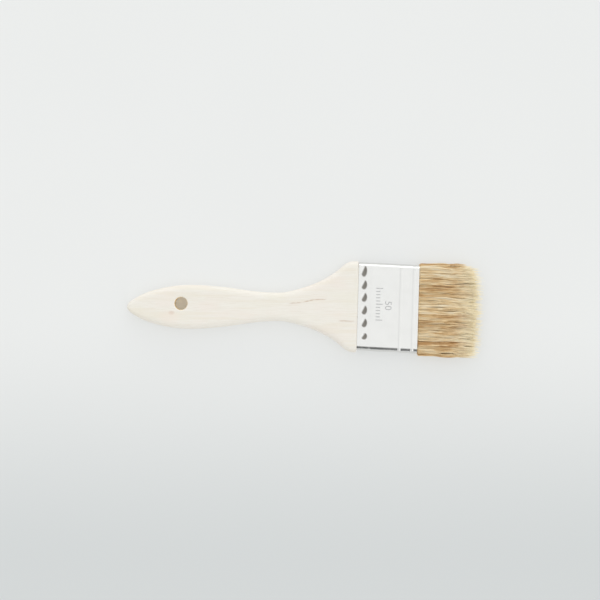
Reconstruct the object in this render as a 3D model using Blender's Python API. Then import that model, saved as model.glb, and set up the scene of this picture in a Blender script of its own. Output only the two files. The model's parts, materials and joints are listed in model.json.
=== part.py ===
"""Flat pastry brush: a wooden beavertail handle, a tinned steel ferrule and natural bristle.

The brush lies flat on its underside. +X runs from the handle's tip to the bristle tips, +Y across the
bristles' width and +Z through the thickness. The origin is the centre of the box around it, on the floor.

The ferrule and all that is in it sit a little out of square with the handle, as on the hand-set original,
so those pieces are modelled in the ferrule's own frame: x is 0 at the handle's shoulder and grows towards
the bristle tips, and y and z are 0 on the ferrule's centre line.
"""

import math

import bmesh
import bpy
from mathutils import Matrix, Vector

MM = 0.001
GAP = 0.3 * MM  # between pieces that touch on the real brush

# Overall proportions
HANDLE_LENGTH = 131.1 * MM  # from the tip to the ferrule
FERRULE_LENGTH = 34.3 * MM
BRISTLE_TRIM = 37.8 * MM  # the free length of the bristle, outside the ferrule
THICKNESS = 9.2 * MM
FERRULE_SKEW = math.radians(1.7)

# Handle
HANDLE_OUTLINE = (  # distance from the tip and half width, in mm
    (0.0, 0.0),
    (0.5, 1.5),
    (2.4, 3.5),
    (9.6, 7.6),
    (18.7, 10.4),
    (28.0, 12.1),
    (39.0, 12.5),
    (55.0, 11.3),
    (73.0, 8.8),
    (86.0, 8.1),
    (92.5, 8.9),
    (101.0, 11.2),
    (109.5, 14.5),
    (118.0, 19.4),
    (124.0, 24.3),
    (128.0, 25.8),
    (133.5, 25.8),  # past the shoulder, which the ferrule's edge trims
)
OUTLINE_STEPS = 4  # points from one outline station to the next
EDGE_RADIUS = 3.2 * MM
EDGE_STEPS = 4
TIP_BLEND = 14.0 * MM  # the edge rounding narrows over this length, towards the tip
TIP_EDGE_SHARE = 0.35  # of the edge rounding's width that is left at the tip
HOLE_RADIUS = 3.6 * MM
HOLE_FROM_TIP = 30.8 * MM
HOLE_OFF_AXIS = 1.9 * MM
HOLE_CHAMFER = 0.3 * MM
HOLE_SIDES = 28
TENON_LENGTH = 10.0 * MM
TENON_ROOT = 1.0 * MM  # how far the tenon's solid starts inside the handle

# Ferrule
FERRULE_WIDTH = 50.3 * MM
FERRULE_HEIGHT = 8.6 * MM
FERRULE_CORNER = 3.6 * MM
CORNER_STEPS = 6
WALL = 0.35 * MM
BEAD_PLACES = (24.0 * MM, 31.3 * MM)
BEAD_HEIGHT = 0.3 * MM
BEAD_WIDTH = 1.8 * MM
GROOVE_PLACE = 6.5 * MM
GROOVE_DEPTH = 0.12 * MM
GROOVE_WIDTH = 1.4 * MM
DENT_COUNT = 6
DENT_PITCH = 7.43 * MM
DENT_ROW_SHIFT = 1.7 * MM  # the row of dents is off the ferrule's centre line
DENT_PLACE = 3.6 * MM
DENT_DEPTH = 0.9 * MM
DENT_HALF_LENGTH = 2.2 * MM  # across the ferrule
DENT_HALF_WIDTH = 1.4 * MM  # along the ferrule
DENT_CLEARANCE = 0.075 * MM  # from a dent's bottom to the wood, beyond the usual gap
LAP_CENTRE = -14.0 * MM  # the lapped seam on the underside
LAP_WIDTH = 6.0 * MM
LAP_HEIGHT = 0.3 * MM
LAP_EDGE = 0.15 * MM

# What the ferrule holds
RESIN_LENGTH = 9.0 * MM
RESIN_FLOOR = 4.0 * MM  # resin between the tenon and the bristle butts
RESIN_WALL = 0.6 * MM
PLUG_WIDTH = 40.0 * MM
PLUG_THICKNESS = 2.4 * MM
PLUG_END = 27.0 * MM

# Free bristle
BRISTLE_WIDTH = 52.0 * MM
BRISTLE_HALF = 3.9 * MM  # half of the bristle's thickness
BRISTLE_CORNER = 3.4 * MM
BELLY_HINGE = FERRULE_LENGTH + 4.4 * MM
TIP_HINGE = FERRULE_LENGTH + 19.0 * MM
NOSE_STEPS = 16
TIP_HALF = 2.5 * MM  # half of the thickness at the bristle tips
TIP_ROUNDING = 1.6 * MM
CROWN_CENTRE = -1.5 * MM
CROWN_DROP = 3.5 * MM
CROWN_CORNER_DROP = 7.5 * MM
CROWN_STEPS = 28

SMOOTH_ANGLE = math.radians(35)


# ---------- scene and material helpers ----------

def clear_scene():
    for old in list(bpy.data.objects):
        bpy.data.objects.remove(old, do_unlink=True)


def material(name, colour, roughness, metallic=0.0):
    made = bpy.data.materials.new(name)
    made.use_nodes = True
    shader = made.node_tree.nodes["Principled BSDF"]
    shader.inputs["Base Color"].default_value = (*colour, 1.0)
    shader.inputs["Roughness"].default_value = roughness
    shader.inputs["Metallic"].default_value = metallic
    return made


def empty(name, location=(0.0, 0.0, 0.0), parent=None):
    made = bpy.data.objects.new(name, None)
    made.location = location
    made.parent = parent
    bpy.context.scene.collection.objects.link(made)
    return made


def add_object(name, mesh_data, parent, look=None):
    """Makes an object of a bmesh, with its normals facing out and its round faces smooth."""
    bmesh.ops.recalc_face_normals(mesh_data, faces=mesh_data.faces)
    mesh = bpy.data.meshes.new(name)
    mesh_data.to_mesh(mesh)
    mesh_data.free()
    mesh.shade_smooth()
    mesh.set_sharp_from_angle(angle=SMOOTH_ANGLE)
    made = bpy.data.objects.new(name, mesh)
    made.parent = parent
    bpy.context.scene.collection.objects.link(made)
    if look is not None:
        mesh.materials.append(look)
    return made


def as_cutter(guide):
    guide.hide_render = True
    guide.display_type = "WIRE"
    return guide


def boolean(target, operation, cutter):
    made = target.modifiers.new(operation.lower() + "_" + cutter.name, "BOOLEAN")
    made.operation = operation
    made.solver = "EXACT"
    made.object = as_cutter(cutter)


def move_origin(target, point):
    """Puts an object's origin at a point of its parent's frame and leaves its shape where it is."""
    target.data.transform(Matrix.Translation(-Vector(point)))
    target.location = point


# ---------- shape helpers ----------

def smooth_curve(points, steps):
    """Points along a Catmull-Rom curve through the given points, which turns back on itself at both ends."""
    first, last = points[0], points[-1]
    before = (points[1][0], -points[1][1])
    after = (2 * last[0] - points[-2][0], last[1])
    padded = [Vector(p) for p in (before, *points, after)]
    curve = []
    for p0, p1, p2, p3 in zip(padded, padded[1:], padded[2:], padded[3:]):
        for step in range(steps):
            t = step / steps
            curve.append(
                0.5 * (2 * p1 + (p2 - p0) * t + (2 * p0 - 5 * p1 + 4 * p2 - p3) * t ** 2
                       + (3 * p1 - p0 - 3 * p2 + p3) * t ** 3)
            )
    curve.append(Vector(last))
    curve[0] = Vector(first)
    return curve


def rounded_section(half_width, half_height, radius, steps=CORNER_STEPS):
    """A rounded rectangle's (y, z) points, anticlockwise."""
    section = []
    corners = ((1, 1, 0), (-1, 1, 90), (-1, -1, 180), (1, -1, 270))
    for side_y, side_z, start in corners:
        for step in range(steps + 1):
            angle = math.radians(start + 90 * step / steps)
            section.append((
                side_y * (half_width - radius) + radius * math.cos(angle),
                side_z * (half_height - radius) + radius * math.sin(angle),
            ))
    return section


def loft(rings, closed_ends=True):
    """A closed tube of quads through equal rings of points, with a flat face on each end."""
    shape = bmesh.new()
    made = [[shape.verts.new(point) for point in ring] for ring in rings]
    count = len(rings[0])
    for ring, following in zip(made, made[1:]):
        for i in range(count):
            j = (i + 1) % count
            shape.faces.new((ring[i], ring[j], following[j], following[i]))
    if closed_ends:
        shape.faces.new(reversed(made[0]))
        shape.faces.new(made[-1])
    else:
        for i in range(count):
            j = (i + 1) % count
            shape.faces.new((made[-1][i], made[-1][j], made[0][j], made[0][i]))
    return shape


def prism_x(section, start, end):
    return loft([[(x, y, z) for y, z in section] for x in (start, end)])


def prism_y(profile, half_width):
    return loft([[(x, y, z) for x, z in profile] for y in (-half_width, half_width)])


def prism_z(outline, half_height):
    return loft([[(x, y, z) for x, y in outline] for z in (-half_height, half_height)])


def box(low, high):
    corners = ((low[1], low[2]), (high[1], low[2]), (high[1], high[2]), (low[1], high[2]))
    return prism_x(corners, low[0], high[0])


def arc_points(centre_x, radius, start_deg, end_deg, steps):
    points = []
    for step in range(steps + 1):
        angle = math.radians(start_deg + (end_deg - start_deg) * step / steps)
        points.append((centre_x + radius * math.cos(angle), radius * math.sin(angle)))
    return points


def smoothstep(t):
    t = min(max(t, 0.0), 1.0)
    return t * t * (3 - 2 * t)


# ---------- handle ----------

def handle_outline():
    """The handle without its tenon, as (x, y) points from the +Y shoulder round the tip to the other one."""
    half = [(x * MM - HANDLE_LENGTH, y * MM) for x, y in HANDLE_OUTLINE]
    curve = smooth_curve(half, OUTLINE_STEPS)
    upper = [Vector((p.x, p.y)) for p in reversed(curve)]
    lower = [Vector((p.x, -p.y)) for p in curve[1:]]
    return upper + lower


def inward_normals(outline):
    """Unit vectors into the handle at each outline point. At the shoulder they run straight across."""
    normals = []
    for i, point in enumerate(outline):
        before = outline[max(i - 1, 0)]
        after = outline[min(i + 1, len(outline) - 1)]
        along = (after - before).normalized()
        normals.append(Vector((-along.y, along.x)))
    normals[0] = Vector((0.0, -1.0))
    normals[-1] = Vector((0.0, 1.0))
    return normals


def handle_body():
    outline = handle_outline()
    normals = inward_normals(outline)
    levels = []
    for step in range(EDGE_STEPS + 1):
        angle = math.radians(90 * step / EDGE_STEPS)
        levels.append((1 - math.sin(angle), THICKNESS / 2 - EDGE_RADIUS * (1 - math.cos(angle))))
    underside = [(share, -height) for share, height in levels]
    topside = [(share, height) for share, height in reversed(levels)]
    rings = []
    for share, height in underside + topside:
        ring = []
        for point, normal in zip(outline, normals):
            from_tip = point.x + HANDLE_LENGTH
            narrowed = TIP_EDGE_SHARE + (1 - TIP_EDGE_SHARE) * smoothstep(from_tip / TIP_BLEND)
            moved = point + normal * (EDGE_RADIUS * share * narrowed)
            ring.append((moved.x, moved.y, height))
        rings.append(ring)
    return loft(rings)


def hole_cutter():
    """The hang hole with a small chamfer at both mouths."""
    rim = THICKNESS / 2 + GAP
    waist = THICKNESS / 2 - HOLE_CHAMFER
    rings = []
    for height, radius in (
        (-rim, HOLE_RADIUS + HOLE_CHAMFER + GAP),
        (-waist, HOLE_RADIUS),
        (waist, HOLE_RADIUS),
        (rim, HOLE_RADIUS + HOLE_CHAMFER + GAP),
    ):
        ring = []
        for side in range(HOLE_SIDES):
            angle = 2 * math.pi * side / HOLE_SIDES
            ring.append((
                HOLE_FROM_TIP - HANDLE_LENGTH + radius * math.cos(angle),
                HOLE_OFF_AXIS + radius * math.sin(angle),
                height,
            ))
        rings.append(ring)
    return loft(rings)


def make_handle(root, ferrule_frame, look):
    handle = add_object("handle", handle_body(), root, look)
    boolean(handle, "DIFFERENCE", add_object("hole_cutter", hole_cutter(), root))
    beyond = FERRULE_WIDTH
    trim = box((-GAP, -beyond, -beyond), (beyond, beyond, beyond))
    boolean(handle, "DIFFERENCE", add_object("shoulder_cutter", trim, ferrule_frame))
    shrink = WALL + GAP
    section = rounded_section(
        FERRULE_WIDTH / 2 - shrink, FERRULE_HEIGHT / 2 - shrink, FERRULE_CORNER - shrink)
    tenon = add_object("tenon_guide", prism_x(section, -TENON_ROOT, TENON_LENGTH), ferrule_frame)
    for side in (1, -1):
        for number, across in enumerate(dent_places()):
            recess = bmesh.new()
            bmesh.ops.create_icosphere(recess, subdivisions=2, radius=1.0)
            room = Vector((DENT_HALF_WIDTH + GAP, DENT_HALF_LENGTH + GAP, DENT_DEPTH + DENT_CLEARANCE))
            recess.transform(Matrix.Diagonal((*room, 1.0)))
            place = Vector((DENT_PLACE, across, side * (FERRULE_HEIGHT / 2 - shrink)))
            recess.transform(Matrix.Translation(place))
            name = f"recess_cutter_{'top' if side > 0 else 'under'}_{number}"
            boolean(tenon, "DIFFERENCE", add_object(name, recess, ferrule_frame))
    boolean(handle, "UNION", tenon)
    return handle


# ---------- ferrule ----------

def dent_places():
    """Where the dents lie across the ferrule."""
    first = DENT_ROW_SHIFT - DENT_PITCH * (DENT_COUNT - 1) / 2
    return [first + DENT_PITCH * i for i in range(DENT_COUNT)]


def hump(distance, half_width):
    """1 in the middle, falling smoothly to 0 at half_width."""
    if abs(distance) >= half_width:
        return 0.0
    return math.cos(math.pi * distance / half_width / 2) ** 2


def contour_point(along):
    """A point and outward normal on the ferrule's outer half contour, at a distance from its face's middle.

    The half contour is the +Z face and both its rounded corners, as (y, z)."""
    side = 1 if along >= 0 else -1
    distance = abs(along)
    flat = FERRULE_WIDTH / 2 - FERRULE_CORNER
    bend = FERRULE_CORNER * math.pi / 2
    corner_z = FERRULE_HEIGHT / 2 - FERRULE_CORNER
    if distance <= flat:
        return Vector((along, FERRULE_HEIGHT / 2)), Vector((0.0, 1.0))
    angle = min((distance - flat) / bend, 1.0) * math.pi / 2
    normal = Vector((side * math.sin(angle), math.cos(angle)))
    centre = Vector((side * flat, corner_z))
    drop = max(distance - flat - bend, 0.0)
    return centre + normal * FERRULE_CORNER - Vector((0.0, drop)), normal


def contour_stops():
    """Distances along the half contour, from one side to the other, that its columns stand at."""
    flat = FERRULE_WIDTH / 2 - FERRULE_CORNER
    bend = FERRULE_CORNER * math.pi / 2
    half = flat + bend + (FERRULE_HEIGHT / 2 - FERRULE_CORNER)
    stops = [-half, half]
    for step in range(CORNER_STEPS + 1):
        distance = flat + bend * step / CORNER_STEPS
        stops += [-distance, distance]
    shares = (-1.0, -0.5, 0.0, 0.5, 1.0)
    stops += [place + share * DENT_HALF_LENGTH for place in dent_places() for share in shares]
    kept = []
    for stop in sorted(stops):
        if not kept or stop - kept[-1] > GAP:
            kept.append(stop)
    return kept


def length_stops():
    """Distances along the ferrule that its rings stand at."""
    stops = [0.0, FERRULE_LENGTH]
    stops += [DENT_PLACE + share * DENT_HALF_WIDTH for share in (-1.0, -0.5, 0.0, 0.5, 1.0)]
    stops += [GROOVE_PLACE + share * GROOVE_WIDTH / 2 for share in (-1.0, 0.0, 1.0)]
    for place in BEAD_PLACES:
        stops += [place + share * BEAD_WIDTH / 2 for share in (-1.0, -0.5, 0.0, 0.5, 1.0)]
    return sorted(stops)


def pressed_height(x, along):
    """How far the tinplate is pushed out at x, at a distance along the half contour."""
    height = sum(BEAD_HEIGHT * hump(x - place, BEAD_WIDTH / 2) for place in BEAD_PLACES)
    height -= GROOVE_DEPTH * hump(x - GROOVE_PLACE, GROOVE_WIDTH / 2)
    for place in dent_places():
        reach = math.hypot((x - DENT_PLACE) / DENT_HALF_WIDTH, (along - place) / DENT_HALF_LENGTH)
        height -= DENT_DEPTH * hump(reach, 1.0)
    return height


def lap_height(y, z):
    """The thickness that the lapped seam adds outside, on the underside only."""
    if z > 0 or abs(y - LAP_CENTRE) > LAP_WIDTH / 2:
        return 0.0
    return LAP_HEIGHT


def ferrule_columns():
    """Every column round the ferrule: (distance along its half contour, its point, its outward normal)."""
    columns = []
    upper = contour_stops()
    for along in reversed(upper):
        point, normal = contour_point(along)
        columns.append((along, point, normal))
    lower = set(upper[1:-1])
    for edge in (LAP_CENTRE - LAP_WIDTH / 2, LAP_CENTRE + LAP_WIDTH / 2):
        lower |= {edge - LAP_EDGE, edge + LAP_EDGE}
    for along in sorted(lower):
        point, normal = contour_point(along)
        columns.append((along, Vector((point.x, -point.y)), Vector((normal.x, -normal.y))))
    return columns


def make_ferrule(frame, look):
    columns = ferrule_columns()
    stops = length_stops()
    outer, inner = [], []
    for x in stops:
        outer_ring, inner_ring = [], []
        for along, point, normal in columns:
            pressed = pressed_height(x, along)
            bead_clear = max(0.0, 1.0 - max(pressed, 0.0) / BEAD_HEIGHT)
            lap = lap_height(point.x, point.y) * bead_clear
            outside = point + normal * (pressed + lap)
            inside = point + normal * (pressed - WALL)
            outer_ring.append((x, outside.x, outside.y))
            inner_ring.append((x, inside.x, inside.y))
        outer.append(outer_ring)
        inner.append(inner_ring)
    shell = loft(outer + inner[::-1], closed_ends=False)
    return add_object("ferrule", shell, frame, look)


# ---------- what the ferrule holds ----------

def lined_section(lining):
    """The ferrule's section, drawn in by a distance from its outer face."""
    return rounded_section(
        FERRULE_WIDTH / 2 - lining, FERRULE_HEIGHT / 2 - lining, FERRULE_CORNER - lining)


def make_resin_heel(frame, look):
    start = TENON_LENGTH + GAP
    end = start + RESIN_LENGTH
    lining = WALL + GAP
    heel = add_object("resin_heel", prism_x(lined_section(lining), start, end), frame, look)
    pocket = prism_x(lined_section(lining + RESIN_WALL), start + RESIN_FLOOR, end + TENON_ROOT)
    boolean(heel, "DIFFERENCE", add_object("pocket_cutter", pocket, frame))
    return heel


def make_spacer_plug(frame, look):
    start = TENON_LENGTH + GAP + RESIN_FLOOR + GAP
    section = rounded_section(PLUG_WIDTH / 2, PLUG_THICKNESS / 2, PLUG_THICKNESS / 4, steps=2)
    return add_object("spacer_plug", prism_x(section, start, PLUG_END), frame, look)


def make_bristle_butts(name, side, frame, look):
    """One of the two layers of bristle inside the ferrule: above the spacer plug, or below it."""
    root_start = TENON_LENGTH + GAP + RESIN_FLOOR + GAP
    main_start = TENON_LENGTH + GAP + RESIN_LENGTH + GAP
    lining = WALL + GAP
    main = prism_x(lined_section(lining), main_start, BELLY_HINGE)
    layer = add_object(name, main, frame, look)
    rooted = prism_x(lined_section(lining + RESIN_WALL + GAP), root_start, main_start + GAP)
    boolean(layer, "UNION", add_object("root_guide_" + name, rooted, frame))
    beyond = FERRULE_WIDTH
    other_half = sorted((-side * FERRULE_HEIGHT, side * GAP / 2))
    half = box((0.0, -beyond, other_half[0]), (2 * beyond, beyond, other_half[1]))
    boolean(layer, "DIFFERENCE", add_object("half_cutter_" + name, half, frame))
    slot_y = PLUG_WIDTH / 2 + GAP
    slot_z = PLUG_THICKNESS / 2 + GAP
    slot = box((0.0, -slot_y, -slot_z), (PLUG_END + GAP, slot_y, slot_z))
    boolean(layer, "DIFFERENCE", add_object("slot_cutter_" + name, slot, frame))
    seat = prism_y(arc_points(BELLY_HINGE, BRISTLE_HALF + GAP, 0, 360, 3 * NOSE_STEPS)[:-1], beyond)
    boolean(layer, "DIFFERENCE", add_object("seat_cutter_" + name, seat, frame))
    return layer


# ---------- free bristle ----------

def nose(hinge_x):
    """The round end that turns in its neighbour's seat, from its top round to its underside."""
    return arc_points(hinge_x, BRISTLE_HALF, 90, 270, NOSE_STEPS)


def make_bristle_belly(frame, hinge, look):
    lip = math.sqrt((BRISTLE_HALF + GAP) ** 2 - BRISTLE_HALF ** 2)
    lip_angle = math.degrees(math.atan2(BRISTLE_HALF, -lip))
    seat = arc_points(TIP_HINGE, BRISTLE_HALF + GAP, 360 - lip_angle, lip_angle, NOSE_STEPS)
    belly = add_object("bristle_belly", prism_y(nose(BELLY_HINGE) + seat, BRISTLE_WIDTH), frame, look)
    envelope = prism_x(
        rounded_section(BRISTLE_WIDTH / 2, BRISTLE_HALF + GAP, BRISTLE_CORNER), 0.0, 2 * TIP_HINGE)
    boolean(belly, "INTERSECT", add_object("belly_envelope", envelope, frame))
    belly.parent = hinge
    move_origin(belly, (BELLY_HINGE, 0.0, 0.0))
    belly.location = (0.0, 0.0, 0.0)
    return belly


def crown_outline(start, end):
    """The free end seen from above: a low crown, a little towards -Y, that drops away at the corners."""
    half = BRISTLE_WIDTH / 2
    outline = [(start, -half)]
    for step in range(CROWN_STEPS + 1):
        y = -half + BRISTLE_WIDTH * step / CROWN_STEPS
        share = abs(y - CROWN_CENTRE) / (half + abs(CROWN_CENTRE))
        outline.append((end - CROWN_DROP * share ** 2 - CROWN_CORNER_DROP * share ** 8, y))
    outline.append((start, half))
    return outline


def make_bristle_tips(frame, hinge, look):
    end = FERRULE_LENGTH + BRISTLE_TRIM
    end_arc = []
    for angle_deg in (-90, -45, 0, 45, 90):
        angle = math.radians(angle_deg)
        end_arc.append((end - TIP_ROUNDING * (1 - math.cos(angle)), TIP_HALF * math.sin(angle)))
    tips = add_object("bristle_tips", prism_y(nose(TIP_HINGE) + end_arc, BRISTLE_WIDTH), frame, look)
    plan = prism_z(crown_outline(BELLY_HINGE, end), THICKNESS)
    boolean(tips, "INTERSECT", add_object("tips_plan", plan, frame))
    envelope = prism_x(
        rounded_section(BRISTLE_WIDTH / 2, BRISTLE_HALF + GAP, BRISTLE_CORNER), 0.0, 2 * TIP_HINGE)
    boolean(tips, "INTERSECT", add_object("tips_envelope", envelope, frame))
    tips.parent = hinge
    move_origin(tips, (TIP_HINGE, 0.0, 0.0))
    tips.location = (0.0, 0.0, 0.0)
    return tips


# ---------- assembly ----------

def centre_on_floor(root, pieces):
    """Moves the whole brush so that the box around it is centred on the origin and stands on z = 0."""
    bpy.context.view_layer.update()
    depsgraph = bpy.context.evaluated_depsgraph_get()
    points = []
    for piece in pieces:
        evaluated = piece.evaluated_get(depsgraph)
        points += [evaluated.matrix_world @ vertex.co for vertex in evaluated.data.vertices]
    low = [min(point[axis] for point in points) for axis in range(3)]
    high = [max(point[axis] for point in points) for axis in range(3)]
    root.location -= Vector(((low[0] + high[0]) / 2, (low[1] + high[1]) / 2, low[2]))
    bpy.context.view_layer.update()


def main():
    clear_scene()
    wood = material("pale_wood", (0.80, 0.73, 0.60), 0.62)
    plug_wood = material("plug_wood", (0.62, 0.48, 0.31), 0.70)
    tinplate = material("tinned_steel", (0.80, 0.80, 0.79), 0.24, 1.0)
    resin = material("amber_resin", (0.42, 0.24, 0.08), 0.35)
    bristle = material("natural_bristle", (0.56, 0.40, 0.22), 0.60)

    root = empty("pastry_brush")
    ferrule_frame = empty("ferrule_frame", parent=root)
    ferrule_frame.rotation_euler = (0.0, 0.0, -FERRULE_SKEW)
    belly_hinge = empty("belly_hinge", (BELLY_HINGE, 0.0, 0.0), ferrule_frame)
    tip_hinge = empty("tip_hinge", (TIP_HINGE - BELLY_HINGE, 0.0, 0.0), belly_hinge)

    pieces = [
        make_handle(root, ferrule_frame, wood),
        make_ferrule(ferrule_frame, tinplate),
        make_resin_heel(ferrule_frame, resin),
        make_spacer_plug(ferrule_frame, plug_wood),
        make_bristle_butts("bristle_butts_upper", 1, ferrule_frame, bristle),
        make_bristle_butts("bristle_butts_lower", -1, ferrule_frame, bristle),
        make_bristle_belly(ferrule_frame, belly_hinge, bristle),
        make_bristle_tips(ferrule_frame, tip_hinge, bristle),
    ]
    centre_on_floor(root, pieces)


main()
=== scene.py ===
import json
import math

import bpy
import numpy as np
from mathutils import Matrix, Vector


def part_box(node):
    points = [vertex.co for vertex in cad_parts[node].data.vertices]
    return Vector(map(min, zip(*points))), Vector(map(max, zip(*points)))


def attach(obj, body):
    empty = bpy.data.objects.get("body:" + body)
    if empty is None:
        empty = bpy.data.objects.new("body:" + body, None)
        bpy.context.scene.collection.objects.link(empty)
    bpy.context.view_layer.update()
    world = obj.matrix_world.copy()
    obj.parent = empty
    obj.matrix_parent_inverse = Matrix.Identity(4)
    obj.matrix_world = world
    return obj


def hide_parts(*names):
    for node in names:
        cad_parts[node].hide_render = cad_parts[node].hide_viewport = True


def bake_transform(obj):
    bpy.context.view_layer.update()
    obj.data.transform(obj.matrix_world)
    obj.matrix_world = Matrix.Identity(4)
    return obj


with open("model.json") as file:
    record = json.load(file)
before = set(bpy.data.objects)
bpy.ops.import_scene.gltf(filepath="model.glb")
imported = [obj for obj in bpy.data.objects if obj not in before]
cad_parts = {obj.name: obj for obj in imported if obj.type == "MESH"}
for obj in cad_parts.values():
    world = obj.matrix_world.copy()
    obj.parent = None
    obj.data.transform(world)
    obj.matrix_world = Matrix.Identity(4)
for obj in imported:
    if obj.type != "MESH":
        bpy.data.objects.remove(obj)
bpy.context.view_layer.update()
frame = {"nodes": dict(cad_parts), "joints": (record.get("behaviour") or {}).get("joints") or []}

MM = 0.001
ROOT_BODY = "handle_and_ferrule"
JOINTS = {joint["name"]: joint for joint in frame["joints"]}

# Handle. Places on it are (from its tip, off its axis)
HANDLE_VOXEL = 0.42 * MM
HANDLE_SMOOTHING = 5
HOLE_FROM_TIP = 30.8 * MM
HOLE_OFF_AXIS = 1.9 * MM
HOLE_RADIUS = 3.6 * MM
WOOD_MARKS = (  # start, end, half width and strength of each brown mark in the grain
    ((91.0 * MM, 1.9 * MM), (101.0 * MM, 2.6 * MM), 0.55 * MM, 0.5),
    ((99.0 * MM, 2.5 * MM), (107.5 * MM, 4.3 * MM), 0.6 * MM, 0.75),
    ((105.0 * MM, 4.1 * MM), (114.5 * MM, 4.2 * MM), 0.5 * MM, 0.6),
    ((119.0 * MM, -7.8 * MM), (131.0 * MM, -8.3 * MM), 0.8 * MM, 0.45),
)
KNOT = ((25.4 * MM, -3.3 * MM), 2.4 * MM, 1.7 * MM)  # place, half length and half width
KNOT_HALO = ((24.0 * MM, -6.0 * MM), 9.0 * MM, 6.0 * MM)

# Ferrule, measured from its handle side
WALL = 0.35 * MM
FERRULE_CORNER = 3.6 * MM
BEAD_PLACES = (24.0 * MM, 31.3 * MM)
BEAD_HEIGHT = 0.3 * MM
BEAD_WIDTH = 1.7 * MM
BEAD_EDGE_LOSS = 0.88  # the share of their height that the beads lose round the narrow sides
STEP_PLACE = 7.0 * MM  # the staked end is pressed in slightly, up to here
STEP_WIDTH = 2.0 * MM
STEP_DEPTH = 0.12 * MM
DENT_PLACE = 3.5 * MM
DENT_ROW_LEAN = 0.028  # the punched row runs a little out of line with the ferrule's end
DENTS = (  # centre across the ferrule and length of each punched dimple
    (20.2 * MM, 7.4 * MM),
    (12.4 * MM, 6.0 * MM),
    (5.3 * MM, 5.9 * MM),
    (-1.9 * MM, 5.9 * MM),
    (-9.2 * MM, 5.7 * MM),
    (-16.8 * MM, 4.3 * MM),
)
DENT_WIDTH = 3.8 * MM
DENT_DEPTH = 0.42 * MM
FERRULE_SHEAR = 0.022  # its narrow sides lean this much more than its ends are out of square
LAP_CENTRE = -14.0 * MM
LAP_WIDTH = 6.0 * MM
LAP_HEIGHT = 0.3 * MM
GRID = 0.3 * MM  # the tinplate's mesh
SHARP_ANGLE = math.radians(50)

# Stamp, on the ferrule's face. STAMP_RISE keeps it just clear of the tin
STAMP_TEXT = "50"
STAMP_SIZE = 5.4 * MM
STAMP_PLACE = (15.4 * MM, 1.2 * MM)  # from the ferrule's handle side, off its centre line
STAMP_RISE = 0.012 * MM
TICKS = 11
TICK_START = (10.2 * MM, -7.4 * MM)
TICK_PITCH = 1.8 * MM
TICK_WIDTH = 0.5 * MM
TICK_LENGTH = 2.4 * MM
LONG_TICK_LENGTH = 3.8 * MM  # every fifth one
TICK_THICKNESS = 0.01 * MM
NUMBER_EXTRUDE = 0.008 * MM

# Bristle. Reach is 0 at the ferrule's mouth and 1 where the CAD's bristle ends
SEED = 11
STRANDS = 5200
LAYERS = 4
CLUMPS = 110
STRAND_RADIUS = 0.155 * MM
STRAND_SIDES = 3
RADIUS_SHARES = (0.75, 1.15)
TIP_THINNING = 0.7
THROUGH_WEIGHT = 0.6  # distances through the brush count this much, so clumps are deeper than wide
CLUMP_PULL = (0.0, 0.32)  # how far a clump's hairs close up, as a share of their distance from its middle
CLUMP_REACH = 1.04  # a clump's middle moves out this much as the brush spreads
PULL_POWER = 1.4  # how late along the trim the clumps close up
FLARE_START = 0.55  # from this reach on they open again
FLARE = 0.55  # by this share at the tips
CLUMP_SWAY = (0.15 * MM, 0.65 * MM)
CLUMP_TURNS = (0.7, 1.8)  # waves along the trim
STRAND_SWAY = (0.08 * MM, 0.35 * MM)
STRAND_TURNS = (0.8, 3.0)
STRAND_DRIFT = 0.35 * MM  # typical distance that a hair's tip has strayed sideways
STRAY_SHARE = 0.035  # this share of the hairs strays further
STRAY_FACTOR = 3.5
LONGEST_PAST_CAD = 0.6 * MM
SHORTER = 4.6 * MM  # how much shorter than the longest hair most are, at least
SHORTER_SPREAD = 3.0 * MM
CLUMP_SHORTER_SPREAD = 0.8 * MM
SHORTER_LIMIT = 15.0 * MM
LONG_SHARE = 0.2  # this share of the hairs is longer, within LONG_RANGE of the longest
LONG_RANGE = 6.0 * MM
CROWN_CENTRE = -1.5 * MM
CROWN_DROP = 1.4 * MM  # how far the free end falls back at its sides, in a low curve
CROWN_CORNER = 3.0 * MM  # and how much further at its corners
TONE_SPREAD = 0.1
CLUMP_TONE_SPREAD = 0.15
TONE_LIMITS = (0.03, 0.97)
LOOSE_REACH = 0.45  # from this reach on the hairs sway fully
PULL_THROUGH = 0.6  # through the brush the clumps close up less
SWAY_THROUGH = 0.7  # and the hairs sway less
MOUTH_THICKENING = 0.04
TIP_NARROWING = 0.16
FLOOR_CLEARANCE = 0.25 * MM
MOUTH_STATIONS = (-6.0, -0.5, 0.2, 0.8, 1.6, 3.4, 5.4, 7.4, 9.4)  # mm from the mouth, two of them inside
BLEND_HALF = 4.6 * MM  # on each side of a hinge; a hair's two parts meet midway between the hinges
SWELL_START = 0.5 * MM  # the hairs spread as they leave the ferrule, from just inside it
SWELL_LENGTH = 1.4 * MM
SWELL_WIDTHS = (25.7 * MM, 26.9 * MM)  # to these distances on the +Y and on the -Y side
OUTER_STATIONS = 13

# Studio
FLOOR_SIZE = 3.0
FLOOR_STEPS = 24
FLOOR_GLOW = 0.5  # the share of the floor's brightness that comes from under it, as on a light table
OPEN_FLOOR = 0.45  # floor that sees this share of its surroundings glows fully
HORIZON, ZENITH = 1.27, 1.09  # brightness of the dome
DOME_TILT = (0.12, -0.05)  # how much brighter the dome is towards +X and towards +Y
STRIP_DARKNESS = 0.92
END_DARKNESS = 0.4
PANEL_BRIGHTNESS = 0.5
BACKDROP = 0.9  # the dome's brightness as the camera sees it
DOME_COLOUR = (0.985, 1.0, 0.997, 1.0)
CAMERA_DISTANCE = 1.2
CAMERA_PLACE = (-3.3 * MM, 4.9 * MM)
VIEW_WIDTH = 0.3401
SENSOR_WIDTH = 36.0  # mm


# ---------- the head's own frame ----------

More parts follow.
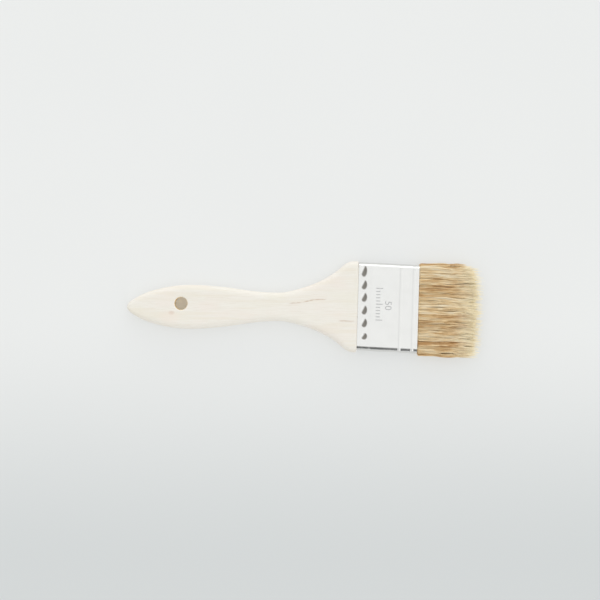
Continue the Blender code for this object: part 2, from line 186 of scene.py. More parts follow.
def head_frame():
    """The ferrule's frame: x towards the bristle tips, y across, z up, and 0 on the first hinge."""
    hinge = JOINTS["belly_bend"]
    across = Vector(hinge["axis"]).normalized()
    up = Vector((0.0, 0.0, 1.0))
    along = across.cross(up).normalized()
    made = Matrix((along, across, up)).transposed().to_4x4()
    made.translation = Vector(hinge["pos_m"])
    return made


HEAD = head_frame()
HEAD_INVERSE = HEAD.inverted()


def head_box(node):
    """A CAD node's lowest and highest corner in the head's frame."""
    points = [HEAD_INVERSE @ vertex.co for vertex in frame["nodes"][node].data.vertices]
    low = Vector([min(point[axis] for point in points) for axis in range(3)])
    high = Vector([max(point[axis] for point in points) for axis in range(3)])
    return low, high


FERRULE_LOW, FERRULE_HIGH = head_box("ferrule")
MOUTH = FERRULE_HIGH.x
FERRULE_LENGTH = FERRULE_HIGH.x - FERRULE_LOW.x
FERRULE_WIDTH = FERRULE_HIGH.y - FERRULE_LOW.y - 2 * BEAD_HEIGHT
FERRULE_HEIGHT = FERRULE_HIGH.z - FERRULE_LOW.z - 2 * BEAD_HEIGHT
TIP_HINGE = (HEAD_INVERSE @ Vector(JOINTS["tip_bend"]["pos_m"])).x
BRISTLE_END = head_box("bristle_tips")[1].x
HANDLE_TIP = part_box("handle")[0].x
HANDLE_AXIS = (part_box("handle")[0].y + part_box("handle")[1].y) / 2
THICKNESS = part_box("handle")[1].z


# ---------- node helpers ----------

class Nodes:
    """A short way to write a material's or the world's nodes."""

    def __init__(self, tree):
        self.tree = tree

    def add(self, kind, inputs=None, **settings):
        node = self.tree.nodes.new(kind)
        for name, value in settings.items():
            setattr(node, name, value)
        for name, value in (inputs or {}).items():
            self.put(node.inputs[name], value)
        return node

    def put(self, socket, value):
        if isinstance(value, bpy.types.NodeSocket):
            self.tree.links.new(value, socket)
        else:
            socket.default_value = value

    def math(self, operation, a, b=0.0, clamp=False):
        node = self.add("ShaderNodeMath", operation=operation, use_clamp=clamp)
        self.put(node.inputs[0], a)
        self.put(node.inputs[1], b)
        return node.outputs[0]

    def ease(self, value, start, end, low=0.0, high=1.0):
        """low before start, high after end and a smooth step between."""
        given = {"Value": value, "From Min": start, "From Max": end, "To Min": low, "To Max": high}
        node = self.add("ShaderNodeMapRange", given, interpolation_type="SMOOTHSTEP")
        return node.outputs["Result"]

    def between(self, value, rise, fall):
        """1 between two smooth steps, each given as (start, end), and 0 outside them."""
        return self.math("MULTIPLY", self.ease(value, *rise), self.ease(value, *fall, 1.0, 0.0))

    def distance(self, x, y):
        """The length of the vector (x, y)."""
        squares = self.math("ADD", self.math("POWER", x, 2.0), self.math("POWER", y, 2.0))
        return self.math("SQRT", squares)

    def mix(self, share, a, b):
        node = self.add("ShaderNodeMix", {"Factor": share, "A": a, "B": b}, data_type="RGBA")
        return node.outputs["Result"]

    def noise(self, vector, scale, detail=3.0, rough=0.5, distortion=0.0):
        node = self.add("ShaderNodeTexNoise", {
            "Vector": vector,
            "Scale": scale,
            "Detail": detail,
            "Roughness": rough,
            "Distortion": distortion,
        })
        return node.outputs["Fac"]

    def stretched(self, vector, scale):
        node = self.add("ShaderNodeMapping", {"Vector": vector, "Scale": scale})
        return node.outputs["Vector"]

    def ramp(self, value, stops):
        node = self.add("ShaderNodeValToRGB", {"Fac": value})
        elements = node.color_ramp.elements
        while len(elements) < len(stops):
            elements.new(0.5)
        for element, (place, colour) in zip(elements, stops):
            element.position = place
            element.color = colour
        return node.outputs["Color"]

    def position(self):
        return self.add("ShaderNodeTexCoord").outputs["Object"]

    def split(self, vector):
        node = self.add("ShaderNodeSeparateXYZ", {"Vector": vector})
        return node.outputs

    def attribute(self, name):
        return self.add("ShaderNodeAttribute", attribute_name=name).outputs["Fac"]

    def bump(self, height, strength, distance):
        node = self.add("ShaderNodeBump", {"Height": height, "Strength": strength, "Distance": distance})
        return node.outputs["Normal"]


def srgb(red, green, blue):
    """A colour given as 0 to 255 screen values, as Blender's linear one."""
    linear = []
    for channel in (red, green, blue):
        share = channel / 255
        linear.append(share / 12.92 if share <= 0.04045 else ((share + 0.055) / 1.055) ** 2.4)
    return (*linear, 1.0)


def new_material(name):
    made = bpy.data.materials.new(name)
    made.use_nodes = True
    return made, Nodes(made.node_tree), made.node_tree.nodes["Principled BSDF"]


# ---------- materials ----------

def line_mask(nodes, parts, start, end, width):
    """1 along a straight mark from start to end, fading out at width and towards both ends."""
    x0, y0 = HANDLE_TIP + start[0], HANDLE_AXIS + start[1]
    x1, y1 = HANDLE_TIP + end[0], HANDLE_AXIS + end[1]
    slope = (y1 - y0) / (x1 - x0)
    along = nodes.math("SUBTRACT", parts["X"], x0)
    line = nodes.math("ADD", nodes.math("MULTIPLY", along, slope), y0)
    off = nodes.math("ABSOLUTE", nodes.math("SUBTRACT", parts["Y"], line))
    across = nodes.ease(off, 0.0, width, 1.0, 0.0)
    length = x1 - x0
    begins = nodes.ease(along, 0.0, 0.3 * length)
    ends = nodes.ease(along, 0.6 * length, length, 1.0, 0.0)
    return nodes.math("MULTIPLY", across, nodes.math("MULTIPLY", begins, ends))


def spot_mask(nodes, parts, place, half_length, half_width):
    """1 in the middle of an oval spot, fading out at its edge."""
    along = nodes.math("DIVIDE", nodes.math("SUBTRACT", parts["X"], HANDLE_TIP + place[0]), half_length)
    across = nodes.math("DIVIDE", nodes.math("SUBTRACT", parts["Y"], HANDLE_AXIS + place[1]), half_width)
    return nodes.ease(nodes.distance(along, across), 0.2, 1.0, 1.0, 0.0)


def wood_material():
    """Pale, dense, unvarnished wood with faint grain along it, small marks and a yellower drilled hole."""
    made, nodes, shader = new_material("handle_wood")
    place = nodes.position()
    parts = nodes.split(place)
    grain = nodes.noise(nodes.stretched(place, (9.0, 130.0, 90.0)), 12.0, 4.0, 0.55, 0.6)
    pores = nodes.noise(nodes.stretched(place, (40.0, 700.0, 500.0)), 9.0, 2.0, 0.6)
    patches = nodes.noise(nodes.stretched(place, (30.0, 60.0, 60.0)), 1.6, 2.0, 0.5)
    rings = nodes.noise(nodes.stretched(place, (3.0, 60.0, 60.0)), 5.0, 1.0, 0.4, 1.2)
    colour = nodes.ramp(grain, (
        (0.25, srgb(234, 227, 216)),
        (0.5, srgb(239, 234, 225)),
        (0.75, srgb(242, 237, 229)),
    ))
    colour = nodes.mix(nodes.ease(patches, 0.45, 0.75, 0.0, 0.55), colour, srgb(240, 229, 220))
    colour = nodes.mix(nodes.ease(patches, 0.25, 0.5, 0.5, 0.0), colour, srgb(236, 232, 219))
    colour = nodes.mix(nodes.ease(rings, 0.48, 0.66, 0.0, 0.35), colour, srgb(234, 225, 208))
    colour = nodes.mix(nodes.ease(pores, 0.62, 0.75, 0.0, 0.3), colour, srgb(216, 200, 174))

    gaps = nodes.noise(nodes.stretched(place, (160.0, 500.0, 500.0)), 3.0)
    broken = nodes.ease(gaps, 0.35, 0.6, 0.35, 1.0)
    for start, end, width, strength in WOOD_MARKS:
        mask = line_mask(nodes, parts, start, end, width)
        share = nodes.math("MULTIPLY", nodes.math("MULTIPLY", mask, broken), strength)
        colour = nodes.mix(share, colour, srgb(186, 152, 122))
    knot = spot_mask(nodes, parts, *KNOT)
    colour = nodes.mix(nodes.math("MULTIPLY", knot, 0.45), colour, srgb(206, 178, 156))
    halo = spot_mask(nodes, parts, *KNOT_HALO)
    colour = nodes.mix(nodes.math("MULTIPLY", halo, 0.35), colour, srgb(243, 228, 216))

    hole_x = nodes.math("SUBTRACT", parts["X"], HANDLE_TIP + HOLE_FROM_TIP)
    hole_y = nodes.math("SUBTRACT", parts["Y"], HANDLE_AXIS + HOLE_OFF_AXIS)
    from_hole = nodes.distance(hole_x, hole_y)
    inside = nodes.ease(from_hole, HOLE_RADIUS - 0.05 * MM, HOLE_RADIUS + 0.2 * MM, 1.0, 0.0)
    colour = nodes.mix(inside, colour, srgb(250, 226, 172))
    nodes.put(shader.inputs["Base Color"], colour)

    rough = nodes.ease(grain, 0.2, 0.8, 0.50, 0.62)
    nodes.put(shader.inputs["Roughness"], rough)
    shader.inputs["Specular IOR Level"].default_value = 0.35
    height = nodes.math("ADD", nodes.math("MULTIPLY", grain, 0.7), nodes.math("MULTIPLY", pores, -0.5))
    nodes.put(shader.inputs["Normal"], nodes.bump(height, 0.25, 0.12 * MM))
    return made


def tin_material():
    """Bright tinplate: soft mottled reflection, hairline scratches, and painted shade with dirt in the
    punched dents.
    """
    made, nodes, shader = new_material("tinned_steel")
    place = nodes.position()
    mottle = nodes.noise(place, 180.0, 4.0, 0.6)
    scratches = nodes.noise(nodes.stretched(place, (60.0, 1400.0, 800.0)), 6.0, 2.0, 0.7)
    cross = nodes.noise(nodes.stretched(place, (1500.0, 40.0, 800.0)), 5.0, 2.0, 0.7)
    dent_shade_and_dirt = nodes.attribute("dent_shade_and_dirt")
    colour = nodes.ramp(mottle, ((0.3, srgb(226, 225, 223)), (0.7, srgb(230, 229, 227))))
    colour = nodes.mix(nodes.ease(scratches, 0.62, 0.8, 0.0, 0.25), colour, srgb(203, 203, 200))
    # painted shade and dirt: the dents' one-sided crescents turn the tin dark grey
    colour = nodes.mix(dent_shade_and_dirt, colour, srgb(134, 130, 124))
    nodes.put(shader.inputs["Base Color"], colour)
    shader.inputs["Metallic"].default_value = 1.0
    rough = nodes.math("ADD", nodes.ease(mottle, 0.2, 0.8, 0.18, 0.26), nodes.math("MULTIPLY", dent_shade_and_dirt, 0.3))
    nodes.put(shader.inputs["Roughness"], rough)
    wavy = nodes.noise(place, 55.0, 1.0, 0.4)
    fine = nodes.math("ADD", nodes.math("MULTIPLY", scratches, 0.04), nodes.math("MULTIPLY", cross, 0.04))
    height = nodes.math("ADD", wavy, fine)
    nodes.put(shader.inputs["Normal"], nodes.bump(height, 0.3, 0.12 * MM))
    return made


def bristle_material():
    """Blond hog bristle: each hair has its own tone, and all pale towards their flagged tips, made paler
    still as painted light shining through the thin tips.
    """
    made, nodes, shader = new_material("bristle")
    tone = nodes.attribute("tone")
    reach = nodes.attribute("reach")
    place = nodes.position()
    flecks = nodes.noise(nodes.stretched(place, (60.0, 900.0, 900.0)), 4.0, 2.0, 0.6)
    patches = nodes.noise(nodes.stretched(place, (25.0, 100.0, 100.0)), 4.0, 2.0, 0.6)
    shade = nodes.math("ADD", tone, nodes.ease(flecks, 0.2, 0.8, -0.08, 0.08))
    shade = nodes.math("ADD", shade, nodes.ease(patches, 0.25, 0.75, -0.26, 0.26))
    colour = nodes.ramp(shade, (
        (0.0, srgb(196, 152, 100)),
        (0.3, srgb(226, 194, 144)),
        (0.6, srgb(241, 219, 178)),
        (0.85, srgb(248, 233, 203)),
        (1.0, srgb(252, 243, 222)),
    ))
    # partly painted light: the tips pale as flagged tips do, and further, standing in for light shining
    # through them
    pale = nodes.ease(nodes.math("ADD", reach, nodes.math("MULTIPLY", tone, 0.1)), 0.50, 0.96)
    colour = nodes.mix(pale, colour, srgb(255, 244, 214))
    nodes.put(shader.inputs["Base Color"], colour)
    shader.inputs["Roughness"].default_value = 0.42
    shader.inputs["Specular IOR Level"].default_value = 0.4
    return made


def ink_material():
    """A worn grey stamp on the tin."""
    made, nodes, shader = new_material("grey_ink")
    worn = nodes.noise(nodes.position(), 900.0, 3.0, 0.7)
    colour = nodes.ramp(worn, ((0.35, srgb(172, 172, 172)), (0.6, srgb(196, 196, 195))))
    nodes.put(shader.inputs["Base Color"], colour)
    nodes.put(shader.inputs["Roughness"], nodes.ease(worn, 0.3, 0.7, 0.4, 0.6))
    shader.inputs["Metallic"].default_value = 0.8
    return made


def resin_material():
    """Cured amber epoxy, with paler drawn threads where it met the hair."""
    made, nodes, shader = new_material("resin")
    threads = nodes.noise(nodes.stretched(nodes.position(), (80.0, 900.0, 900.0)), 3.0, 3.0)
    colour = nodes.ramp(threads, ((0.3, srgb(132, 84, 36)), (0.7, srgb(176, 122, 62))))
    nodes.put(shader.inputs["Base Color"], colour)
    nodes.put(shader.inputs["Roughness"], nodes.ease(threads, 0.3, 0.7, 0.2, 0.35))
    return made


def plug_material():
    """Raw sawn wood."""
    made, nodes, shader = new_material("plug_wood")
    grain = nodes.noise(nodes.stretched(nodes.position(), (300.0, 40.0, 500.0)), 4.0, 4.0, 0.6)
    colour = nodes.ramp(grain, ((0.3, srgb(168, 134, 92)), (0.7, srgb(200, 170, 126))))
    nodes.put(shader.inputs["Base Color"], colour)
    nodes.put(shader.inputs["Roughness"], nodes.ease(grain, 0.3, 0.7, 0.65, 0.8))
    nodes.put(shader.inputs["Normal"], nodes.bump(grain, 0.4, 0.1 * MM))
    return made


def floor_material():
    """Matt paper, greyer towards -Y as painted shade, that glows from under it where nothing stands over
    it.
    """
    made, nodes, shader = new_material("pale_floor")
    place = nodes.position()
    soft = nodes.noise(place, 9.0, 2.0, 0.5)
    paper = nodes.ramp(soft, ((0.3, srgb(235, 236, 235)), (0.7, srgb(236, 237, 236))))
    # painted shade: the paper greys towards -Y, where less light falls
    shade = nodes.ease(nodes.split(place)["Y"], 0.0, -0.15)
    colour = nodes.mix(shade, paper, srgb(213, 216, 216))
    open_sky = nodes.add("ShaderNodeAmbientOcclusion", samples=8).outputs["AO"]
    open_share = nodes.math("DIVIDE", open_sky, OPEN_FLOOR, clamp=True)
    glow = nodes.math("MULTIPLY", open_share, FLOOR_GLOW)
    nodes.put(shader.inputs["Base Color"], nodes.mix(glow, colour, (0.0, 0.0, 0.0, 1.0)))
    nodes.put(shader.inputs["Emission Color"], colour)
    nodes.put(shader.inputs["Emission Strength"], glow)
    shader.inputs["Roughness"].default_value = 0.9
    shader.inputs["Specular IOR Level"].default_value = 0.1
    return made


# ---------- mesh helpers ----------

def smoothstep(t):
    """0 below 0, 1 above 1 and a smooth step between."""
    t = np.clip(t, 0.0, 1.0)
    return t * t * (3 - 2 * t)


def hump(distance, half_width):
    """1 in the middle, falling smoothly to 0 at half_width."""
    return np.where(np.abs(distance) < half_width, np.cos(np.pi * distance / half_width / 2) ** 2, 0.0)


def new_piece(name, mesh, look):
    made = bpy.data.objects.new(name, mesh)
    bpy.context.scene.collection.objects.link(made)
    mesh.materials.append(look)
    return made


def put_attribute(mesh, name, values):
    """A number at each of a mesh's points, for its material to read."""
    mesh.attributes.new(name, "FLOAT", "POINT").data.foreach_set("value", np.asarray(values, np.float32))


def to_world(points):
    """Points of the head's frame, as an array, in the row frame."""
    matrix = np.array(HEAD, float)
    return points @ matrix[:3, :3].T + matrix[:3, 3]


def apply_modifiers(piece):
    """Gives a piece the mesh that its modifiers make, and removes them."""
    depsgraph = bpy.context.evaluated_depsgraph_get()
    mesh = bpy.data.meshes.new_from_object(piece.evaluated_get(depsgraph))
    piece.modifiers.clear()
    piece.data = mesh


# ---------- handle ----------

def make_handle():
    """The CAD handle's own shape on a fine even mesh, its edges softened as by sanding."""
    mesh = frame["nodes"]["handle"].data.copy()
    mesh.materials.clear()
    handle = new_piece("wooden_handle", mesh, wood_material())
    remesh = handle.modifiers.new("even_mesh", "REMESH")
    remesh.mode = "VOXEL"
    remesh.voxel_size = HANDLE_VOXEL
    remesh.use_smooth_shade = True
    smooth = handle.modifiers.new("sanded", "SMOOTH")
    smooth.iterations = HANDLE_SMOOTHING
    apply_modifiers(handle)
    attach(handle, ROOT_BODY)
    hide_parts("handle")


# ---------- ferrule ----------

def dents(x, along):
    """Shares of a dimple's full depth and of its one-sided crescent of painted shade and dirt, at points of
    the ferrule.
    """
    depth, shade_and_dirt = np.zeros_like(x), np.zeros_like(x)
    for centre, length in DENTS:
        off_x = (x - DENT_PLACE + DENT_ROW_LEAN * centre) / (DENT_WIDTH / 2)
        off_y = (along - centre) / (length / 2)
        radius = np.hypot(off_x, off_y)
        pit = 1.0 - smoothstep((radius - 0.15) / 0.85)
        one_side = smoothstep((0.8 * off_x - 0.6 * off_y + 0.45) / 0.4)
        # painted shade and dirt: a crescent on one side of each dent
        crescent = smoothstep((1.05 - radius) / 0.3) * one_side
        depth = np.maximum(depth, pit)
        shade_and_dirt = np.maximum(shade_and_dirt, crescent)
    return depth, shade_and_dirt


def pressed_height(x, along):
    """How far the tinplate is pushed out, at x from its handle side and at along on its half contour."""
    height = sum(BEAD_HEIGHT * hump(x - place, BEAD_WIDTH / 2) for place in BEAD_PLACES)
    height = height - STEP_DEPTH * (1.0 - smoothstep((x - STEP_PLACE + STEP_WIDTH / 2) / STEP_WIDTH))
    return height - DENT_DEPTH * dents(x, along)[0]


def half_contour(along):
    """Points (y, z) and outward normals of the ferrule's upper half contour, from distances along it."""
    flat = FERRULE_WIDTH / 2 - FERRULE_CORNER
    bend = FERRULE_CORNER * math.pi / 2
    side = np.sign(along)
    distance = np.abs(along)
    angle = np.clip((distance - flat) / bend, 0.0, 1.0) * math.pi / 2
    drop = np.maximum(distance - flat - bend, 0.0)
    y = side * (np.minimum(distance, flat) + FERRULE_CORNER * np.sin(angle))
    z = FERRULE_HEIGHT / 2 - FERRULE_CORNER * (1 - np.cos(angle)) - drop
    return y, z, side * np.sin(angle), np.cos(angle)


def ferrule_rows():
    """Stations from the outside, round the mouth's rim and back inside: x, and depth as a share of WALL."""
    outer_x = np.linspace(0.0, FERRULE_LENGTH, int(FERRULE_LENGTH / GRID))
    outside = [(x, 0.0) for x in outer_x]
    rim = [(FERRULE_LENGTH, 0.15), (FERRULE_LENGTH, 0.85)]
    inside = [(x, 1.0) for x in outer_x[::-2]]
    back_rim = [(0.0, 0.85), (0.0, 0.15)]
    return np.array(outside + rim + inside + back_rim)


def make_ferrule():
    """One sheet of tinplate with a thickness, pressed and lapped, as rings of points round the head."""
    flat = FERRULE_WIDTH / 2 - FERRULE_CORNER
    drop = FERRULE_HEIGHT / 2 - FERRULE_CORNER
    half = flat + FERRULE_CORNER * math.pi / 2 + drop
    upper = np.linspace(-half, half, int(2 * half / GRID))
    lower = upper[1:-1]
    columns = np.concatenate([upper[::-1], lower])
    y, z, normal_y, normal_z = half_contour(columns)
    under = np.arange(len(columns)) >= len(upper)
    z = np.where(under, -z, z)
    normal_z = np.where(under, -normal_z, normal_z)
    from_lap = np.abs(y - LAP_CENTRE)
    beside_lap = smoothstep((from_lap - LAP_WIDTH / 2) / GRID + 0.5)
    lap = np.where(under, LAP_HEIGHT * (1.0 - beside_lap), 0.0)

    rows = ferrule_rows()
    x = rows[:, :1] * np.ones(len(columns))
    depth = rows[:, 1:]
    along = np.ones((len(rows), 1)) * columns
    pressed = pressed_height(x, along)
    kept = 1.0 - BEAD_EDGE_LOSS * normal_y ** 2
    pressed = np.where(pressed > 0.0, pressed * kept, pressed)
    beads = np.maximum(pressed, 0.0) / BEAD_HEIGHT
    out = pressed + lap * (1.0 - depth) * (1.0 - beads) - WALL * depth
    centre_z = (FERRULE_LOW.z + FERRULE_HIGH.z) / 2
    lean = FERRULE_SHEAR * (FERRULE_LENGTH / 2 - x)
    places = (x + FERRULE_LOW.x, y + normal_y * out + lean, z + normal_z * out + centre_z)
    points = np.stack(places, axis=-1).reshape(-1, 3)

    index = np.arange(x.size).reshape(x.shape)
    following = np.roll(index, -1, axis=0)
    corners = (index, np.roll(index, -1, axis=1), np.roll(following, -1, axis=1), following)
    quads = np.stack(corners, axis=-1).reshape(-1, 4)
    mesh = bpy.data.meshes.new("tin_ferrule")
    mesh.from_pydata(to_world(points).tolist(), [], quads.tolist())
    mesh.shade_smooth()
    mesh.set_sharp_from_angle(angle=SHARP_ANGLE)
    # the dents' crescents of painted shade and dirt, for the tin to darken
    put_attribute(mesh, "dent_shade_and_dirt", dents(x, along)[1].ravel())
    ferrule = new_piece("tin_ferrule", mesh, tin_material())
    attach(ferrule, ROOT_BODY)
    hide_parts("ferrule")


def make_size_number(look, top):
    """The brush's width in millimetres."""
    text = bpy.data.curves.new("size_mark", "FONT")
    text.body = STAMP_TEXT
    text.size = STAMP_SIZE
    text.align_x = "CENTER"
    text.extrude = NUMBER_EXTRUDE
    text.materials.append(look)
    number = bpy.data.objects.new("size_mark", text)
    place = Matrix.Translation((FERRULE_LOW.x + STAMP_PLACE[0], STAMP_PLACE[1], top))
    number.matrix_world = HEAD @ place @ Matrix.Rotation(math.radians(-90), 4, "Z")
    bpy.context.scene.collection.objects.link(number)
    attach(number, ROOT_BODY)


def make_ruler_ticks(look, top):
    """A short row of ruler ticks across the ferrule, each a thin closed box."""
    points, faces = [], []
    for tick in range(TICKS):
        length = LONG_TICK_LENGTH if tick % 5 == 0 else TICK_LENGTH
        x0 = FERRULE_LOW.x + TICK_START[0]
        y0 = TICK_START[1] + tick * TICK_PITCH
        for z in (top - TICK_THICKNESS, top):
            for dx, dy in ((0, 0), (length, 0), (length, TICK_WIDTH), (0, TICK_WIDTH)):
                points.append((x0 + dx, y0 + dy, z))
        under = [8 * tick + corner for corner in range(4)]
        over = [corner + 4 for corner in under]
        faces += [under[::-1], over]
        faces += [(under[i], under[(i + 1) % 4], over[(i + 1) % 4], over[i]) for i in range(4)]
    mesh = bpy.data.meshes.new("ruler_ticks")
    mesh.from_pydata(to_world(np.array(points)).tolist(), [], faces)
    ticks = new_piece("ruler_ticks", mesh, look)
    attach(ticks, ROOT_BODY)


def make_stamp():
    """A generic worn stamp on the ferrule: its size, beside ruler ticks."""
    look = ink_material()
    top = FERRULE_HIGH.z - BEAD_HEIGHT + STAMP_RISE
    make_size_number(look, top)
    make_ruler_ticks(look, top)


# ---------- bristle ----------

class Bristle:
    """The hairs' centre lines, radii and tones, in the head's frame."""

    def __init__(self):
        draw = np.random.default_rng(SEED)
        self.trim = BRISTLE_END - MOUTH
        self.half_y = FERRULE_WIDTH / 2 - WALL - STRAND_RADIUS
        self.half_z = FERRULE_HEIGHT / 2 - WALL - STRAND_RADIUS
        self.y0, self.z0 = self.roots(draw)
        centre_y = draw.uniform(-self.half_y, self.half_y, CLUMPS)
        centre_z = draw.uniform(-self.half_z, self.half_z, CLUMPS)
        gap = (self.y0[:, None] - centre_y) ** 2 + (self.z0[:, None] - centre_z) ** 2 * THROUGH_WEIGHT
        self.clump = gap.argmin(axis=1)
        self.centre_y, self.centre_z = centre_y[self.clump], centre_z[self.clump]
        self.pull = draw.uniform(*CLUMP_PULL, CLUMPS)[self.clump]
        self.clump_sway = draw.uniform(*CLUMP_SWAY, (2, CLUMPS))[:, self.clump]
        self.clump_turns = draw.uniform(*CLUMP_TURNS, CLUMPS)[self.clump]
        self.clump_phase = draw.uniform(0, 2 * math.pi, (2, CLUMPS))[:, self.clump]
        self.sway = draw.uniform(*STRAND_SWAY, STRANDS)
        self.turns = draw.uniform(*STRAND_TURNS, STRANDS)
        self.phase = draw.uniform(0, 2 * math.pi, (2, STRANDS))
        self.drift = draw.normal(0.0, STRAND_DRIFT, (2, STRANDS))
        stray = draw.random(STRANDS) < STRAY_SHARE
        self.drift[:, stray] *= STRAY_FACTOR
        self.radius = STRAND_RADIUS * draw.uniform(*RADIUS_SHARES, STRANDS)
        self.twist = draw.uniform(0, 2 * math.pi, STRANDS)
        self.tip_x = BRISTLE_END + LONGEST_PAST_CAD - self.shortfall(draw)
        clump_tone = draw.normal(0.5, CLUMP_TONE_SPREAD, CLUMPS)[self.clump]
        self.tone = np.clip(clump_tone + draw.normal(0.0, TONE_SPREAD, STRANDS), *TONE_LIMITS)

    def roots(self, draw):
        """Evenly scattered places in the ferrule's rounded section."""
        y, z = [], []
        corner = FERRULE_CORNER - WALL
        while len(y) < STRANDS:
            new_y = draw.uniform(-self.half_y, self.half_y, STRANDS)
            new_z = draw.uniform(-self.half_z, self.half_z, STRANDS)
            over_y = np.maximum(np.abs(new_y) - (self.half_y - corner), 0.0)
            over_z = np.maximum(np.abs(new_z) - (self.half_z - corner), 0.0)
            inside = np.hypot(over_y, over_z) <= corner
            y += new_y[inside].tolist()
            z += new_z[inside].tolist()
        return np.array(y[:STRANDS]), np.array(z[:STRANDS])

    def shortfall(self, draw):
        """How far short of the brush's crown each hair ends, with the crown's own drop to its corners."""
        own = np.abs(draw.normal(0.0, SHORTER_SPREAD, STRANDS))
        together = np.abs(draw.normal(0.0, CLUMP_SHORTER_SPREAD, CLUMPS))[self.clump]
        shorter = SHORTER + own + together
        longest = draw.random(STRANDS) < LONG_SHARE
        shorter[longest] = LONG_RANGE * np.sqrt(draw.random(longest.sum()))
        share = np.abs(self.y0 - CROWN_CENTRE) / self.half_y
        crown = CROWN_DROP * share ** 2 + CROWN_CORNER * share ** 12
        return np.minimum(shorter, SHORTER_LIMIT) + crown

    def places(self, which, x):
        """The y, z and reach of some hairs at stations x along the head, as arrays of hair by station."""
        reach = np.clip((x - MOUTH) / self.trim, 0.0, 1.1)
        swell = smoothstep((x - MOUTH + SWELL_START) / SWELL_LENGTH)
        wider = np.where(self.y0[which] > 0, *SWELL_WIDTHS)[:, None] / self.half_y - 1.0
        taper = 1.0 + MOUTH_THICKENING * swell - TIP_NARROWING * reach ** 2
        y = self.y0[which][:, None] * (1.0 + wider * swell)
        z = self.z0[which][:, None] * taper
        closed = 1.0 - FLARE * smoothstep((reach - FLARE_START) / (1.0 - FLARE_START))
        pull = self.pull[which][:, None] * reach ** PULL_POWER * closed
        y = y + pull * (self.centre_y[which][:, None] * CLUMP_REACH - y)
        z = z + PULL_THROUGH * pull * (self.centre_z[which][:, None] * taper - z)
        loose = smoothstep(reach / LOOSE_REACH)
        y = y + self.shift(0, which, reach, loose)
        z = z + SWAY_THROUGH * self.shift(1, which, reach, loose)
        lowest = FLOOR_CLEARANCE - HEAD.translation.z
        return y, np.maximum(z, lowest), reach

    def shift(self, axis, which, reach, loose):
        """How far hairs wander sideways: with their lock, on their own, and apart towards the tips."""
        turn = 2 * math.pi * reach
        together = self.clump_turns[which][:, None] * turn + self.clump_phase[axis][which][:, None]
        alone = self.turns[which][:, None] * turn + self.phase[axis][which][:, None]
        lock = self.clump_sway[axis][which][:, None] * np.sin(together)
        own = self.sway[which][:, None] * np.sin(alone)
        return loose * (lock + own) + self.drift[axis][which][:, None] * reach ** 2

    def tubes(self, name, which, x, taper, look):
        """A piece of closed tubes along some hairs through stations x, with their tone and reach."""
        y, z, reach = self.places(which, x)
        radius = self.radius[which][:, None] * taper
        angle = self.twist[which][:, None, None] + 2 * math.pi * np.arange(STRAND_SIDES) / STRAND_SIDES
        ring_y = y[..., None] + radius[..., None] * np.cos(angle)
        ring_z = z[..., None] + radius[..., None] * np.sin(angle)
        ring_x = np.broadcast_to(x[..., None], ring_y.shape)
        points = np.stack([ring_x, ring_y, ring_z], axis=-1).reshape(-1, 3)
        index = np.arange(ring_y.size).reshape(ring_y.shape)
        a, b = index[:, :-1], index[:, 1:]
        quads = np.stack([a, np.roll(a, -1, axis=2), np.roll(b, -1, axis=2), b], axis=-1).reshape(-1, 4)
        caps = np.concatenate([index[:, 0, ::-1], index[:, -1, :]])
        mesh = bpy.data.meshes.new(name)
        mesh.from_pydata(to_world(points).tolist(), [], quads.tolist() + caps.tolist())
        mesh.shade_flat()
        per_point = np.ones(ring_y.shape)
        put_attribute(mesh, "tone", (per_point * self.tone[which][:, None, None]).ravel())
        put_attribute(mesh, "reach", (per_point * reach[..., None]).ravel())
        piece = new_piece(name, mesh, look)
        return piece


def make_bristle():
    """Hairs in layers, each hair in two parts that meet midway between the two hinges, so each part crosses
    one hinge."""
    hairs = Bristle()
    look = bristle_material()
    first_end = BLEND_HALF
    second_start = TIP_HINGE - BLEND_HALF
    cut = (first_end + second_start) / 2
    order = np.argsort(hairs.z0)
    mouth_x = MOUTH + np.array(MOUTH_STATIONS) * MM
    for layer, which in enumerate(np.array_split(order, LAYERS)):
        inner_x = np.append(mouth_x, cut) * np.ones((len(which), 1))
        inner = hairs.tubes(f"bristle_inner_{layer}", which, inner_x, np.ones(inner_x.shape[1]), look)
        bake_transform(inner)
        butts = "bristle_butts_lower" if layer < LAYERS / 2 else "bristle_butts_upper"
        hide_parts(butts, "bristle_belly")

        share = np.linspace(0.0, 1.0, OUTER_STATIONS)
        outer_x = cut + (hairs.tip_x[which] - cut)[:, None] * share
        taper = 1.0 - TIP_THINNING * share ** 4
        outer = hairs.tubes(f"bristle_outer_{layer}", which, outer_x, taper, look)
        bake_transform(outer)
        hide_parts("bristle_tips")


# ---------- hidden CAD pieces ----------

def dress_hidden_nodes():
    """The resin and the plug keep their CAD shape and get their looks."""
    for node, look in (("resin_heel", resin_material()), ("spacer_plug", plug_material())):
        mesh = frame["nodes"][node].data
        mesh.materials.clear()
        mesh.materials.append(look)


# ---------- studio ----------

def make_floor():
    """A flat square of paper under the brush."""
    line = np.linspace(-FLOOR_SIZE / 2, FLOOR_SIZE / 2, FLOOR_STEPS + 1)
    grid = [(x, y, 0.0) for y in line for x in line]
    row = len(line)
    starts = [j * row + i for j in range(FLOOR_STEPS) for i in range(FLOOR_STEPS)]
    faces = [(start, start + 1, start + row + 1, start + row) for start in starts]
    mesh = bpy.data.meshes.new("floor")
    mesh.from_pydata(grid, [], faces)
    floor = new_piece("floor", mesh, floor_material())


def darken(nodes, level, mask, share):
    """The level, less this share of it where the mask is 1."""
    return nodes.math("MULTIPLY", level, nodes.math("SUBTRACT", 1.0, nodes.math("MULTIPLY", mask, share)))


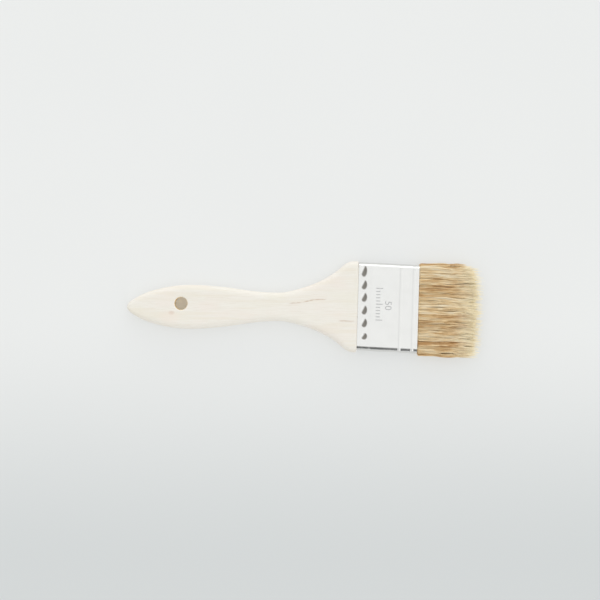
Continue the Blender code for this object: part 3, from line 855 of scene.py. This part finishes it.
def make_world():
    """A bright soft dome, brightest at the horizon, with four changes that the polished metal picks up.

    A dark narrow strip stands on the -Y side, both ends (+X and -X) are darker, and a bright low panel
    stands on the +Y side."""
    world = bpy.data.worlds.new("studio")
    bpy.context.scene.world = world
    world.use_nodes = True
    nodes = Nodes(world.node_tree)
    direction = nodes.split(nodes.add("ShaderNodeTexCoord").outputs["Generated"])
    x, y, z = direction["X"], direction["Y"], direction["Z"]
    from_middle = nodes.math("ABSOLUTE", x)

    height = nodes.ease(z, 0.0, 1.0, HORIZON, ZENITH)
    tilt_x = nodes.math("MULTIPLY", x, DOME_TILT[0])
    tilt_y = nodes.math("MULTIPLY", y, DOME_TILT[1])
    tilt = nodes.math("ADD", tilt_x, tilt_y)
    level = nodes.math("MULTIPLY", height, nodes.math("ADD", tilt, 1.0))

    front = nodes.ease(y, -0.55, -0.3, 1.0, 0.0)
    narrow = nodes.ease(from_middle, 0.1, 0.3, 1.0, 0.0)
    standing = nodes.between(z, (0.0, 0.1), (0.72, 0.86))
    strip = nodes.math("MULTIPLY", nodes.math("MULTIPLY", front, narrow), standing)
    level = darken(nodes, level, strip, STRIP_DARKNESS)
    raised = nodes.between(z, (0.1, 0.22), (0.6, 0.8))
    ends = nodes.math("MULTIPLY", nodes.ease(from_middle, 0.4, 0.75), raised)
    level = darken(nodes, level, ends, END_DARKNESS)
    low = nodes.between(z, (0.0, 0.1), (0.22, 0.36))
    panel = nodes.math("MULTIPLY", nodes.ease(y, 0.35, 0.75), low)
    level = nodes.math("ADD", level, nodes.math("MULTIPLY", panel, PANEL_BRIGHTNESS))

    seen = nodes.add("ShaderNodeLightPath").outputs["Is Camera Ray"]
    shown = nodes.add("ShaderNodeMix", {"Factor": seen, "A": level, "B": BACKDROP}, data_type="FLOAT")
    background = world.node_tree.nodes["Background"]
    background.inputs["Color"].default_value = DOME_COLOUR
    nodes.put(background.inputs["Strength"], shown.outputs["Result"])


def area_light(name, place, target, size, power):
    light = bpy.data.lights.new(name, "AREA")
    light.shape = "RECTANGLE"
    light.size, light.size_y = size
    light.energy = power
    made = bpy.data.objects.new(name, light)
    made.location = place
    made.rotation_euler = (Vector(target) - Vector(place)).to_track_quat("-Z", "Y").to_euler()
    bpy.context.scene.collection.objects.link(made)


def make_camera():
    """Straight above the brush, looking down, as a catalogue picture is taken."""
    camera = bpy.data.cameras.new("camera")
    camera.sensor_width = SENSOR_WIDTH
    camera.lens = SENSOR_WIDTH * CAMERA_DISTANCE / VIEW_WIDTH
    made = bpy.data.objects.new("camera", camera)
    made.location = (*CAMERA_PLACE, THICKNESS + CAMERA_DISTANCE)
    bpy.context.scene.collection.objects.link(made)
    bpy.context.scene.camera = made


make_camera()
make_world()
area_light("key", place=(-0.05, 0.85, 0.3), target=(0.0, 0.0, 0.0), size=(1.2, 0.25), power=0.6)
make_floor()
make_handle()
make_ferrule()
make_stamp()
make_bristle()
dress_hidden_nodes()
bpy.context.scene.view_settings.view_transform = "Standard"
